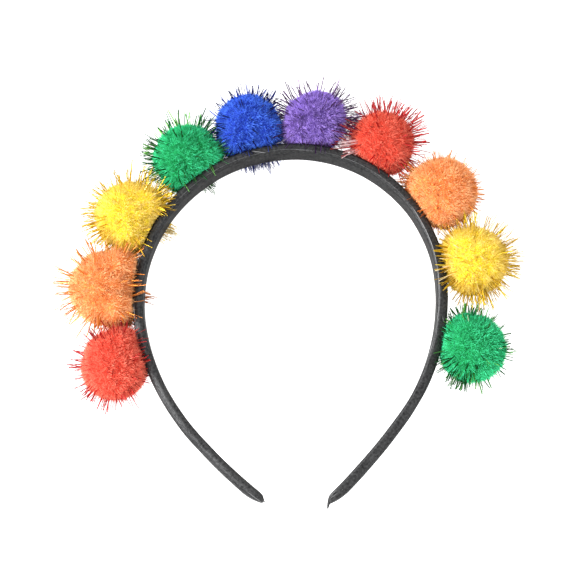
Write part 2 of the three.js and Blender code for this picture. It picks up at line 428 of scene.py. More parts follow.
# Satin: scales of its patterns on the ribbon's UV map, and how much each adds to colour, roughness and
# relief. tip_lightening: how much lighter it gets for each metre from the crown. The woven edges show in
# patches.
SATIN = {
    "rib_scale": 0.314,
    "rib_bend": 0.6,
    "streaks": (60.0, 900.0, 1.0),
    "grain": 1000.0,
    "blotches": 160.0,
    "streak_share": 0.2,
    "blotch_share": 0.2,
    "grain_share": 0.6,
    "darker": 0.6,
    "lighter": 0.13,
    "grey": (0.3, 0.3, 0.3),
    "tip_lightening": 2.0,
    "smooth": 0.4,
    "rougher": 0.16,
    "rib_relief": 0.35,
    "grain_relief": 0.5,
}
# Patches of the woven edges' pale colour, partly a painted highlight.
SELVEDGE_PATCHES = 140.0

# Lamps, in metres: how wide they are and where they hang.
LAMPS = {
    "key": {"size": 0.45, "place": (-0.78, 0.1, 0.52)},
    "fill": {"size": 0.6, "place": (-0.36, -0.75, 0.56)},
}

# The camera looks at this point, in millimetres.
AIM = (-0.746, -1.948, BAND_HEIGHT)

# The floor, in metres, and how far it lies below the pile.
FLOOR_RADIUS = 3.0
FLOOR_SIDES = 96
FLOOR_DROP = 0.1 * MM


def colour_of(name):
    """The colour word in a pompom's name."""
    return name.split("_")[0]


def mixed(first, second, share):
    """A colour or a place between two others."""
    return tuple(a + (b - a) * share for a, b in zip(first, second))


def smooth_share(value, low, high):
    """A smooth step from 0 at low to 1 at high."""
    share = min(max((value - low) / (high - low), 0.0), 1.0)
    return share * share * (3 - 2 * share)


def drawn_in(tip, from_tip):
    """How far a face has drawn in, at a distance from the tip."""
    share = max(0.0, 1.0 - from_tip / tip["length"])
    return tip["depth"] * share * share


class Strip:
    """The middle line of the headband's strip, in the model's frame, measured along from the crown."""

    def __init__(self, thickness):
        mounts = {mount["name"]: mount for mount in frame["record"]["mounts"]}
        inside = Vector(mounts["crown_inside"]["pos_m"]) / MM
        self.thickness = thickness
        self.crown = Vector((inside.x - CROWN_ASIDE, inside.y + thickness / 2 + CROWN_SAG))
        self.legs = {side: self.leg(side) for side in BENDS}
        self.length = {side: sum(arc["length"] for arc in arcs) for side, arcs in self.legs.items()}

    def leg(self, side):
        """Arcs from the crown to one tip, each carrying on smoothly from the one before."""
        arcs = []
        end = self.crown.copy()
        turned = 0.0
        for bend in BENDS[side]:
            radius = bend["radius"]
            start = math.pi / 2 - side * turned
            centre = end - radius * Vector((math.cos(start), math.sin(start)))
            sweep = math.radians(bend["sweep"])
            turned += sweep
            stop = math.pi / 2 - side * turned
            end = centre + radius * Vector((math.cos(stop), math.sin(stop)))
            arcs.append({"centre": centre, "radius": radius, "start": start, "length": sweep * radius})
        return arcs

    def at(self, along):
        """Place of the middle line and its outward direction, in millimetres."""
        side = -1 if along < 0 else 1
        left = abs(along)
        for arc in self.legs[side]:
            if left <= arc["length"] or arc is self.legs[side][-1]:
                break
            left -= arc["length"]
        angle = arc["start"] - side * left / arc["radius"]
        outward = Vector((math.cos(angle), math.sin(angle), 0.0))
        middle = Vector((arc["centre"].x, arc["centre"].y, BAND_HEIGHT)) + arc["radius"] * outward
        return middle, outward


class Nodes:
    """Adds nodes to one tree, with short words for those that are used often."""

    def __init__(self, tree):
        self.tree = tree

    def feed(self, node, inputs):
        """Sets or links a node's inputs, by name or number."""
        for key, value in inputs.items():
            socket = node.inputs[key]
            if isinstance(value, bpy.types.NodeSocket):
                self.tree.links.new(value, socket)
            else:
                socket.default_value = value

    def add(self, kind, inputs=None, **settings):
        """A new node with its settings and inputs."""
        node = self.tree.nodes.new(kind)
        for name, value in settings.items():
            setattr(node, name, value)
        self.feed(node, inputs or {})
        return node

    def made(self, kind, inputs=None, **settings):
        """The first output of a new node."""
        return self.add(kind, inputs, **settings).outputs[0]

    def math(self, operation, first, second=0.0, clamp=False):
        """A number worked out from one or two others."""
        return self.made("ShaderNodeMath", {0: first, 1: second}, operation=operation, use_clamp=clamp)

    def plus(self, first, second, clamp=False):
        """The sum of two numbers."""
        return self.math("ADD", first, second, clamp)

    def minus(self, first, second):
        """The difference of two numbers."""
        return self.math("SUBTRACT", first, second)

    def times(self, first, second):
        """The product of two numbers."""
        return self.math("MULTIPLY", first, second)

    def weighted(self, first, *others):
        """The sum of numbers, each given with its share."""
        total = self.times(*first)
        for term in others:
            total = self.plus(total, self.times(*term))
        return total

    def vector(self, operation, first, second=ORIGIN):
        """A vector worked out from one or two others."""
        return self.made("ShaderNodeVectorMath", {0: first, 1: second}, operation=operation)

    def scaled(self, vector, scale):
        """A vector times a number."""
        return self.made("ShaderNodeVectorMath", {0: vector, "Scale": scale}, operation="SCALE")

    def part(self, vector, axis):
        """One part of a vector, by its axis."""
        return self.add("ShaderNodeSeparateXYZ", {0: vector}).outputs[axis]

    def position(self):
        """The place of each point."""
        return self.made("GeometryNodeInputPosition")

    def noise(self, place, scale, detail=3.0):
        """Outputs of a noise pattern."""
        return self.add("ShaderNodeTexNoise", {"Vector": place, "Scale": scale, "Detail": detail}).outputs

    def random(self, least, most, seed):
        """A random number for each element."""
        inputs = {2: least, 3: most, "Seed": seed}
        return self.add("FunctionNodeRandomValue", inputs, data_type="FLOAT").outputs[1]

    def skewed(self, least, more, power, seed):
        """A random number from least up to more above it, that is mostly near least."""
        share = self.math("POWER", self.random(0.0, 1.0, seed), power)
        return self.plus(self.times(share, more), least)

    def random_vector(self, reach, seed):
        """A random vector within plus and minus reach on each axis."""
        inputs = {0: (-reach, -reach, -reach), 1: (reach, reach, reach), "Seed": seed}
        return self.made("FunctionNodeRandomValue", inputs, data_type="FLOAT_VECTOR")

    def stored(self, geometry, name, value, data_type="FLOAT"):
        """Geometry with a named attribute written on its points."""
        inputs = {"Geometry": geometry, "Name": name, "Value": value}
        node = self.add("GeometryNodeStoreNamedAttribute", inputs, data_type=data_type, domain="POINT")
        return node.outputs["Geometry"]

    def named(self, name, data_type="FLOAT"):
        """A named attribute of the geometry."""
        node = self.add("GeometryNodeInputNamedAttribute", {"Name": name}, data_type=data_type)
        return node.outputs["Attribute"]

    def scattered(self, surface, density, seed):
        """Random points on a surface, as outputs."""
        inputs = {"Mesh": surface, "Density": density, "Seed": seed}
        node = self.add("GeometryNodeDistributePointsOnFaces", inputs, distribute_method="RANDOM")
        return node.outputs

    def coated(self, geometry, material):
        """Geometry with a material."""
        return self.made("GeometryNodeSetMaterial", {"Geometry": geometry, "Material": material})

    def attribute(self, name):
        """A number stored on the mesh, for a material."""
        return self.add("ShaderNodeAttribute", attribute_name=name, attribute_type="GEOMETRY").outputs["Fac"]

    def ramp(self, share, stops):
        """A colour ramp with stops as (place, colour)."""
        node = self.add("ShaderNodeValToRGB", {0: share})
        elements = node.color_ramp.elements
        while len(elements) < len(stops):
            elements.new(0.5)
        for element, (place, colour) in zip(elements, stops):
            element.position = place
            element.color = (*colour, 1.0)
        return node.outputs["Color"]


# Pile and tinsel, grown over a ball by Geometry Nodes.


def clear_length(nodes, source, way, length):
    """A length cut short where something else lies in its way."""
    inputs = {"Object": source["Keep Clear Of"]}
    around = nodes.add("GeometryNodeObjectInfo", inputs, transform_space="ORIGINAL")
    inputs = {"Target Geometry": around.outputs["Geometry"], "Ray Direction": way, "Ray Length": length}
    ray = nodes.add("GeometryNodeRaycast", inputs).outputs
    room = nodes.minus(ray["Hit Distance"], CLEAR_GAP * MM)
    room = nodes.math("MAXIMUM", room, LEAST_LENGTH * MM)
    choice = {"Switch": ray["Is Hit"], "False": length, "True": room}
    return nodes.made("GeometryNodeSwitch", choice, input_type="FLOAT")


def grown(nodes, points, shape, way, width, length):
    """A shape on every point, turned along a direction and made real."""
    turn = nodes.made("FunctionNodeAlignRotationToVector", {"Vector": way}, axis="Z")
    scale = nodes.made("ShaderNodeCombineXYZ", {"X": width, "Y": width, "Z": length})
    inputs = {"Points": points, "Instance": shape, "Rotation": turn, "Scale": scale}
    copies = nodes.made("GeometryNodeInstanceOnPoints", inputs)
    return nodes.made("GeometryNodeRealizeInstances", {0: copies})


def leaning(nodes, normal, lean, scatter, seed):
    """Directions that stand on a surface, lean, and scatter at random."""
    way = nodes.vector("ADD", normal, lean)
    way = nodes.vector("ADD", way, nodes.random_vector(scatter, seed))
    return nodes.vector("NORMALIZE", way)


def pile_branch(nodes, source, clump):
    """Short pile: slim three-sided fibres that lean together in clumps."""
    points = nodes.scattered(source["Geometry"], source["Pile Density"], source["Seed"])
    lean = nodes.scaled(clump["lean"], source["Pile Lean"])
    way = leaning(nodes, points["Normal"], lean, PILE["scatter"], SEEDS["pile_way"])
    wisp = nodes.skewed(PILE["length"], PILE["wisp"], PILE["wisp_power"], SEEDS["pile_length"])
    length = nodes.times(nodes.times(clump["height"], wisp), source["Pile Length"])
    length = clear_length(nodes, source, way, length)
    width = nodes.times(source["Pile Width"], nodes.random(*PILE["width"], SEEDS["pile_width"]))
    # Painted light at the sides of the ball.
    side = nodes.minus(1.0, nodes.math("ABSOLUTE", nodes.part(points["Normal"], "Z")))
    tone = nodes.plus(clump["tone"], nodes.times(side, PILE["painted_rim_light"]))
    tone = nodes.plus(tone, nodes.random(*PILE["tone"], SEEDS["pile_tone"]), clamp=True)
    rooted = nodes.stored(points["Points"], "tone", tone)
    fibre = nodes.add("GeometryNodeMeshCone", FIBRE, fill_type="NGON").outputs["Mesh"]
    fibre = nodes.stored(fibre, "along", nodes.part(nodes.position(), "Z"))
    return nodes.coated(grown(nodes, rooted, fibre, way, width, length), source["Pile Material"])


def tinsel_roots(nodes, source):
    """Points that tinsel grows from, with what tells strands apart, and each strand's way and length."""
    density = nodes.times(source["Tinsel Density"], nodes.named("thick_growth"))
    seed = nodes.plus(source["Seed"], SEEDS["tinsel_place"])
    points = nodes.scattered(source["Geometry"], density, seed)
    sweep = nodes.named("sweep", "FLOAT_VECTOR")
    way = leaning(nodes, points["Normal"], sweep, TINSEL["scatter"], SEEDS["tinsel_way"])
    share = nodes.times(nodes.random(*TINSEL["length"], SEEDS["tinsel_length"]), nodes.named("long_growth"))
    length = nodes.plus(nodes.times(source["Tinsel Length"], share), source["Tinsel Root"])
    length = clear_length(nodes, source, way, length)
    # A strand's tone picks painted shade, its foil or a painted glint, and flash shifts it by where the
    # strand grows.
    tone = nodes.random(*TINSEL["tone"], SEEDS["tinsel_tone"])
    tone = nodes.plus(tone, nodes.named("flash"), clamp=True)
    bend = nodes.random_vector(TINSEL["bend"], SEEDS["tinsel_bend"])
    twist = nodes.random(0.0, math.pi, SEEDS["tinsel_twist"])
    width = (TINSEL["narrow"], TINSEL["broader"], TINSEL["broad_power"])
    breadth = nodes.skewed(*width, SEEDS["tinsel_breadth"])
    roots = nodes.stored(points["Points"], "tone", tone)
    roots = nodes.stored(roots, "bend", bend, "FLOAT_VECTOR")
    for name, value in {"reach": length, "twist": twist, "breadth": breadth}.items():
        roots = nodes.stored(roots, name, value)
    return roots, way, length


def tinsel_branch(nodes, source):
    """Tinsel: thin flat strips of foil that stand out of the pile, each with a slight bend."""
    roots, way, length = tinsel_roots(nodes, source)
    line = nodes.made("GeometryNodeCurvePrimitiveLine", {"Start": ORIGIN, "End": UP})
    inputs = {"Curve": line, "Count": TINSEL["points"]}
    line = nodes.made("GeometryNodeResampleCurve", inputs, mode="COUNT")
    strands = grown(nodes, roots, line, way, length, length)
    along = nodes.add("GeometryNodeSplineParameter").outputs["Factor"]
    curl = nodes.times(nodes.math("POWER", along, TINSEL["curl_power"]), nodes.named("reach"))
    curl = nodes.times(curl, source["Tinsel Bend"])
    offset = nodes.scaled(nodes.named("bend", "FLOAT_VECTOR"), curl)
    strands = nodes.made("GeometryNodeSetPosition", {"Geometry": strands, "Offset": offset})
    lowest = (-FLOOR_RADIUS, -FLOOR_RADIUS, FLOOR_GAP * MM)
    above = nodes.vector("MAXIMUM", nodes.position(), lowest)
    strands = nodes.made("GeometryNodeSetPosition", {"Geometry": strands, "Position": above})
    strands = nodes.stored(strands, "along", along)
    inputs = {"Curve": strands, "Tilt": nodes.named("twist")}
    strands = nodes.made("GeometryNodeSetCurveTilt", inputs)
    taper = nodes.minus(1.0, nodes.times(along, TINSEL["taper"]))
    breadth = nodes.times(nodes.times(taper, nodes.named("breadth")), source["Tinsel Width"])
    inputs = {"Width": 1.0, "Height": TINSEL["thickness"]}
    outline = nodes.made("GeometryNodeCurvePrimitiveQuadrilateral", inputs, mode="RECTANGLE")
    inputs = {"Curve": strands, "Profile Curve": outline, "Scale": breadth, "Fill Caps": True}
    strips = nodes.made("GeometryNodeCurveToMesh", inputs)
    return nodes.coated(strips, source["Tinsel Material"])


def pompom_tree():
    """Node group that covers a ball with leaning pile and tinsel."""
    tree = bpy.data.node_groups.new("Tinsel pompom", "GeometryNodeTree")
    for kind, names in TREE_INPUTS.items():
        for name in names:
            tree.interface.new_socket(name=name, in_out="INPUT", socket_type=kind)
    tree.interface.new_socket(name="Geometry", in_out="OUTPUT", socket_type="NodeSocketGeometry")
    nodes = Nodes(tree)
    source = nodes.add("NodeGroupInput").outputs
    place = nodes.position()
    broad = nodes.noise(place, PILE["broad"], 1.0)
    fine = nodes.noise(place, PILE["fine"], 1.0)
    lean = nodes.vector("SUBTRACT", broad["Color"], NOISE_MIDDLE)
    fine_lean = nodes.vector("SUBTRACT", fine["Color"], NOISE_MIDDLE)
    # Painted shade: a clump's tone falls where its fibres are short.
    tone = nodes.plus(broad[0], nodes.times(fine[0], PILE["low_clump_shade"]))
    height = nodes.times(fine[0], PILE["clump_height"])
    clump = {
        "lean": nodes.vector("ADD", lean, fine_lean),
        "height": nodes.math("MAXIMUM", height, PILE["least_height"]),
        "tone": nodes.plus(nodes.minus(tone, PILE["middle_tone"]), source["Pile Painted Light"]),
    }
    tinsel = tinsel_branch(nodes, source)
    pile = pile_branch(nodes, source, clump)
    # The ball under the pile is painted in shade.
    ball = nodes.stored(source["Geometry"], "tone", PILE["painted_heart_shade"])
    ball = nodes.coated(nodes.stored(ball, "along", 0.0), source["Pile Material"])
    join = nodes.add("GeometryNodeJoinGeometry")
    for geometry in (tinsel, pile, ball):
        tree.links.new(geometry, join.inputs[0])
    real = nodes.add("GeometryNodeRealizeInstances", {0: join.outputs[0]})
    nodes.add("NodeGroupOutput", {0: real.outputs[0]})
    return tree


def set_input(modifier, name, value):
    """Sets a node modifier's input by its socket's identifier."""
    for item in modifier.node_group.interface.items_tree:
        if item.item_type == "SOCKET" and item.in_out == "INPUT" and item.name == name:
            modifier[item.identifier] = value
            return
    raise KeyError(name)


def mesh_object(name, mesh):
    """A new object at the origin, in the scene."""
    piece = bpy.data.objects.new(name, mesh)
    bpy.context.scene.collection.objects.link(piece)
    return piece


def mesh_from(bm, name):
    """A mesh from what has been modelled."""
    mesh = bpy.data.meshes.new(name)
    bm.to_mesh(mesh)
    bm.free()
    return mesh


def made_plain(piece):
    """Turns a piece with modifiers into a plain mesh."""
    graph = bpy.context.evaluated_depsgraph_get()
    grown_piece = piece.evaluated_get(graph)
    mesh = bpy.data.meshes.new_from_object(grown_piece, preserve_all_data_layers=True, depsgraph=graph)
    piece.modifiers.clear()
    piece.data = mesh


def values_of(items, name, kind):
    """One value of every item, as an array."""
    values = np.empty(len(items), dtype=kind)
    items.foreach_get(name, values)
    return values


def add_bake_map(mesh):
    """A UV map by tone and by distance along a fibre, so that fibres of one shade share one place on it."""
    vertex_of = values_of(mesh.loops, "vertex_index", np.int32)
    first = values_of(mesh.polygons, "loop_start", np.int32)
    count = values_of(mesh.polygons, "loop_total", np.int32)
    finish = values_of(mesh.polygons, "material_index", np.int32)
    tone = values_of(mesh.attributes["tone"].data, "value", np.float32)[vertex_of]
    along = values_of(mesh.attributes["along"].data, "value", np.float32)[vertex_of]
    corner = np.minimum(np.arange(len(vertex_of)) - np.repeat(first, count), 3)
    across = BAKE_MAP["half_face"] * np.array((-1.0, 1.0, 1.0, -1.0))[corner]
    upright = BAKE_MAP["half_face"] * np.array((-1.0, -1.0, 1.0, 1.0))[corner]
    half = np.repeat(finish, count) * 0.5
    margin = BAKE_MAP["margin"]
    places = np.empty((len(vertex_of), 2), dtype=np.float32)
    places[:, 0] = margin + BAKE_MAP["tone"] * np.clip(tone, 0.0, 1.0) + across
    places[:, 1] = half + margin + BAKE_MAP["along"] * np.clip(along, 0.0, 1.0) + upright
    layer = mesh.uv_layers.new(name="OFBake")
    layer.data.foreach_set("uv", places.ravel())


# Materials.


def new_material(name):
    """A node material, with its nodes and its shader."""
    material = bpy.data.materials.new(name)
    material.use_nodes = True
    nodes = Nodes(material.node_tree)
    shader = next(node for node in nodes.tree.nodes if node.type == "BSDF_PRINCIPLED")
    return material, nodes, shader


def pile_material(colour, shade, light):
    """Cut pile: painted shade at the root, painted light at the tip, a little different from fibre to fibre.
    """
    material, nodes, shader = new_material(f"pile_{colour}")
    by_tone = nodes.times(nodes.attribute("tone"), PILE_LIGHT["tone"])
    # Painted shade at the root and painted light at the tip, by the distance along the fibre.
    depth_shade_share = nodes.times(nodes.attribute("along"), PILE_LIGHT["along"])
    share = nodes.plus(by_tone, depth_shade_share, clamp=True)
    # The stops are lit and shaded copies of one pile colour.
    stops = ((0.0, shade), (0.5, mixed(shade, light, 0.5)), (1.0, light))
    nodes.feed(shader, {
        "Base Color": nodes.ramp(share, stops),
        "Roughness": 0.9,
        "Specular IOR Level": 0.03,
        "Sheen Weight": 0.02,
        "Sheen Roughness": 0.5,
    })
    return material


def tinsel_material(colour, foil, dark):
    """Metal foil: most strands in painted shade, some in their colour and a few with painted glints."""
    material, nodes, shader = new_material(f"tinsel_{colour}")
    painted_glint = mixed(foil, WHITE, PAINTED_GLINT_SHARE)
    # Painted shade, the foil's own colour, then painted glints.
    stops = ((0.0, dark), (0.5, dark), (0.85, foil), (0.95, foil), (1.0, painted_glint))
    nodes.feed(shader, {
        "Base Color": nodes.ramp(nodes.attribute("tone"), stops),
        "Metallic": 0.7,
        "Roughness": 0.28,
        "Specular IOR Level": 0.15,
    })
    return material


def pompom_materials(colour, settings):
    """Pile and tinsel of one colour."""
    shade, light, foil, dark = (tuple(getattr(settings, f"{colour}_{part}")) for part in COLOUR_PARTS)
    return pile_material(colour, shade, light), tinsel_material(colour, foil, dark)


def ribbon_material(settings):
    """Satin ribbon: fine ribs across it, a soft sheen, and a colour that grows lighter towards the tips."""
    material, nodes, shader = new_material("satin_ribbon")
    place = nodes.made("ShaderNodeUVMap", uv_map="ribbon")
    rib_scale = SATIN["rib_scale"] / settings.weave_pitch
    ribs = {"Vector": place, "Scale": rib_scale, "Distortion": SATIN["rib_bend"], "Detail": 1.0}
    weave = nodes.add("ShaderNodeTexWave", ribs, wave_type="BANDS", bands_direction="X", wave_profile="SIN")
    drawn_out = nodes.made("ShaderNodeMapping", {"Vector": place, "Scale": SATIN["streaks"]})
    streak = nodes.noise(drawn_out, 1.0)[0]
    grain = nodes.noise(place, SATIN["grain"])[0]
    blotch = nodes.noise(place, SATIN["blotches"])[0]
    share = nodes.weighted(
        (streak, SATIN["streak_share"]),
        (blotch, SATIN["blotch_share"]),
        (grain, SATIN["grain_share"]),
    )
    from_crown = nodes.math("ABSOLUTE", nodes.part(place, "X"))
    # The ribbon's colour grows lighter for each metre from the crown.
    tip_lightening = nodes.plus(nodes.times(from_crown, SATIN["tip_lightening"]), 1.0)
    dark = mixed(settings.ribbon_colour, BLACK, SATIN["darker"])
    light = mixed(settings.ribbon_colour, SATIN["grey"], SATIN["lighter"])
    ribs = (weave.outputs[1], SATIN["rib_relief"])
    relief = nodes.weighted(ribs, (streak, 1.0), (grain, SATIN["grain_relief"]))
    bump = nodes.add("ShaderNodeBump", {"Height": relief, "Strength": 0.5, "Distance": 0.15 * MM})
    nodes.feed(shader, {
        "Base Color": nodes.scaled(nodes.ramp(share, ((0.35, dark), (0.65, light))), tip_lightening),
        "Roughness": nodes.plus(nodes.times(streak, SATIN["rougher"]), SATIN["smooth"]),
        "Normal": bump.outputs[0],
        "Metallic": 0.8,
        "Specular Tint": (0.5, 0.5, 0.5, 1.0),
        "Specular IOR Level": 0.02,
    })
    return material


def selvedge_material(settings):
    """The ribbon's woven edge: tight, pale with a painted highlight, and a little uneven."""
    material, nodes, shader = new_material("ribbon_selvedge")
    place = nodes.made("ShaderNodeUVMap", uv_map="ribbon")
    # Patches of the pale colour paint a broken highlight along the edge.
    patchy = nodes.noise(place, SELVEDGE_PATCHES)[0]
    stops = ((0.35, settings.ribbon_colour), (0.7, settings.selvedge_and_highlight_colour))
    nodes.feed(shader, {"Base Color": nodes.ramp(patchy, stops), "Roughness": 0.5})
    return material


# The covered strip.


def strip_section(settings):
    """Corners of the strip's rounded section, as shares of half its thickness and half its width."""
    across_inset = 1.0 - settings.corner / (settings.thickness / 2)
    upright_inset = 1.0 - settings.corner / (settings.width / 2)

    def on_corner(corner, angle):
        """A point on one rounded corner, counted from the outer upper one."""
        across = across_inset if corner in (0, 3) else -across_inset
        upright = upright_inset if corner < 2 else -upright_inset
        return (
            across + (1 - across_inset) * math.cos(angle),
            upright + (1 - upright_inset) * math.sin(angle),
        )

    points = []
    for corner in range(4):
        for step in range(CORNER_STEPS + 1):
            points.append(on_corner(corner, (corner + step / CORNER_STEPS) * math.pi / 2))
        following = (corner + 1) % 4
        last = points[-1]
        first = on_corner(following, following * math.pi / 2)
        count = FLAT_STEPS[corner % 2]
        points.extend(mixed(last, first, step / count) for step in range(1, count))
    return points


def wander(along, lane, pitch):
    """A smooth number from about -1 to 1 that changes along the strip."""
    return noise.noise(Vector((along / pitch, lane * LANE_SPACING, 0.0)))


def uneven(face, along):
    """How far a face of the strip stands out of its even shape, in millimetres."""
    row = UNEVEN[face]
    return row["height"] * wander(along, row["lane"], row["pitch"])


def strip_rows(strip):
    """Distances along the strip at which it is drawn, from the left tip to the right."""
    first = -strip.length[-1]
    last = strip.length[1]
    count = round((last - first) / STRIP_STEP)
    return [first + (last - first) * row / count for row in range(count + 1)]


def tip_sizes(strip, along, settings):
    """Outer face, inner face and width of the strip at a place along it, in millimetres."""
    side = -1 if along < 0 else 1
    from_tip = strip.length[side] - abs(along)
    outer = strip.thickness / 2 + RIBBON["outer"] - drawn_in(TIP_OUTER, from_tip)
    inner = -strip.thickness / 2 - RIBBON["inner"] + drawn_in(TIP_INNER, from_tip)
    width = settings.width / MM - drawn_in(TIP_WIDTH, from_tip)
    return outer, inner, width


def add_ring_faces(bm, rings, uv_layer, places, material_index):
    """Closes a row of rings of vertices into a solid, with its length and girth as the UV map."""
    around = len(rings[0])
    for row in range(len(rings) - 1):
        for point in range(around):
            corners = ((row, point), (row + 1, point), (row + 1, point + 1), (row, point + 1))
            face = bm.faces.new([rings[ring][place % around] for ring, place in corners])
            face.smooth = True
            face.material_index = material_index
            for loop, (ring, place) in zip(face.loops, corners):
                loop[uv_layer].uv = (places[ring], place / around * RIBBON_GIRTH)
    for ring in (list(reversed(rings[-1])), rings[0]):
        face = bm.faces.new(ring)
        face.material_index = material_index


def round_ring(bm, centre, size, aside, flatness, sides):
    """A ring of vertices round a point, in millimetres, flatter upright than aside."""
    ring = []
    for point in range(sides):
        angle = point * 2 * math.pi / sides
        off = aside * math.cos(angle) + UP * (flatness * math.sin(angle))
        ring.append(bm.verts.new((centre + off * size) * MM))
    return ring


def ridge_drop(along, radial, upright):
    """How far the strip's edge falls away from its ridge, at a place on it and a share of its half width."""
    ridge = RIDGE["place"] + RIDGE["drift"] * along
    steeper = smooth_share(abs(along), *RIDGE["change"])
    slope = RIDGE["crown_slope"] + (RIDGE["leg_slope"] - RIDGE["crown_slope"]) * steeper
    return slope * abs(radial - ridge) * smooth_share(abs(upright), *RIDGE["edge"])


def add_strip_body(bm, strip, settings, uv_layer):
    """The ribbon-covered strip itself, a little uneven where the ribbon is pulled round it."""
    section = strip_section(settings)
    rows = strip_rows(strip)
    rings = []
    for along in rows:
        middle, outward = strip.at(along)
        outer, inner, width = tip_sizes(strip, along, settings)
        outer += uneven("outer", along)
        inner += uneven("inner", along)
        ring = []
        for across, upright in section:
            radial = (outer + inner) / 2 + across * (outer - inner) / 2
            edge = uneven("upper" if upright > 0 else "lower", along)
            height = upright * (width / 2 + edge - ridge_drop(along, radial, upright))
            ring.append(bm.verts.new((middle + outward * radial + UP * height) * MM))
        rings.append(ring)
    add_ring_faces(bm, rings, uv_layer, [along * MM for along in rows], 0)


def top_height(strip, along, radial, settings):
    """Height of the strip's rounded edge above its middle line, at a place along and across it."""
    outer, inner, width = tip_sizes(strip, along, settings)
    across = (radial - (outer + inner) / 2) / ((outer - inner) / 2)
    flat = 1.0 - settings.corner / (settings.thickness / 2)
    straight = 1.0 - settings.corner / (settings.width / 2)
    round_share = min(max((abs(across) - flat) / (1.0 - flat), 0.0), 1.0)
    share = straight + (1.0 - straight) * math.sqrt(1.0 - round_share * round_share)
    return share * (width / 2 - ridge_drop(along, radial, share))


def add_selvedge(bm, strip, settings, uv_layer, lane):
    """One woven edge of the ribbon, a fine bead along the strip."""
    count = round((lane["last"] - lane["first"]) / SEAM["step"])
    rows = [lane["first"] + SEAM["step"] * row for row in range(count + 1)]
    rings = []
    for row, along in enumerate(rows):
        middle, outward = strip.at(along)
        share = row / count
        radial = lane["start"] + (lane["end"] - lane["start"]) * share
        radial += SEAM["sway"] * wander(along, lane["seed"], SEAM["sway_pitch"])
        height = lane["upper"] * top_height(strip, along, radial, settings)
        centre = middle + outward * radial + UP * height
        ends = smooth_share(min(share, 1.0 - share), 0.0, SEAM["fade"])
        size = lane["radius"] * (SEAM["thin_end"] + (1.0 - SEAM["thin_end"]) * ends)
        size *= 1.0 + SEAM["swell"] * wander(along, lane["seed"] + 1, SEAM["swell_pitch"])
        rings.append(round_ring(bm, centre, size, outward, 1.0, SEAM["sides"]))
    add_ring_faces(bm, rings, uv_layer, [along * MM for along in rows], 1)


def add_loose_end(bm, strip, settings, uv_layer, end):
    """A thread or a scrap of ribbon that stands out of a tip."""
    reach = strip.length[end["side"]] * end["side"]
    middle, outward = strip.at(reach)
    outer, inner, _ = tip_sizes(strip, reach, settings)
    run = Vector((outward.y, -outward.x, 0.0)) * end["side"]
    turn = math.radians(end["turn"])
    way = run * math.cos(turn) + outward * math.sin(turn)
    aside = way.cross(UP)
    root = middle + outward * (outer + inner) / 2 - way * end["radius"]
    steps = range(LOOSE_SHAPE["steps"] + 1)
    rings = []
    for step in steps:
        share = step / LOOSE_SHAPE["steps"]
        centre = root + way * (end["length"] * share) + UP * (end["upright"] * share * share)
        size = end["radius"] * (1.0 - LOOSE_SHAPE["taper"] * share * share)
        rings.append(round_ring(bm, centre, size, aside, LOOSE_SHAPE["flatness"], LOOSE_SHAPE["sides"]))
    places = [reach * MM + step * LOOSE_SHAPE["weave_step"] * MM for step in steps]
    add_ring_faces(bm, rings, uv_layer, places, 0)


# Pompoms.


def neighbours(order):
    """The pompoms before and after one, where there are any."""
    return [beside for beside in (order - 1, order + 1) if 0 <= beside < len(POMPOMS)]


def ball_place(strip, order):
    """Centre of a pompom's ball, the strip's outward direction there and the ball's radius."""
    row = POMPOMS[order]
    middle, outward = strip.at(row["along"])
    return middle + outward * row["stand"], outward, row["core"]


def direction(bearing, rise):
    """A direction from its bearing and its rise above level, both in degrees."""
    level = Vector((math.cos(math.radians(bearing)), math.sin(math.radians(bearing)), 0.0))
    return level * math.cos(math.radians(rise)) + UP * math.sin(math.radians(rise))


def tuft_share(tuft, way):
    """How far inside a tuft a direction lies, from 0 to 1."""
    off = math.degrees(way.angle(direction(tuft["bearing"], tuft["rise"])))
    return 1.0 - smooth_share(off / tuft["spread"], *TUFT_FADE)


def added(tufts, way, *columns):
    """What all the tufts of a pompom add in one direction, for each column."""
    shares = [(tuft, tuft_share(tuft, way)) for tuft in tufts]
    return [sum(tuft[column] * share for tuft, share in shares) for column in columns]


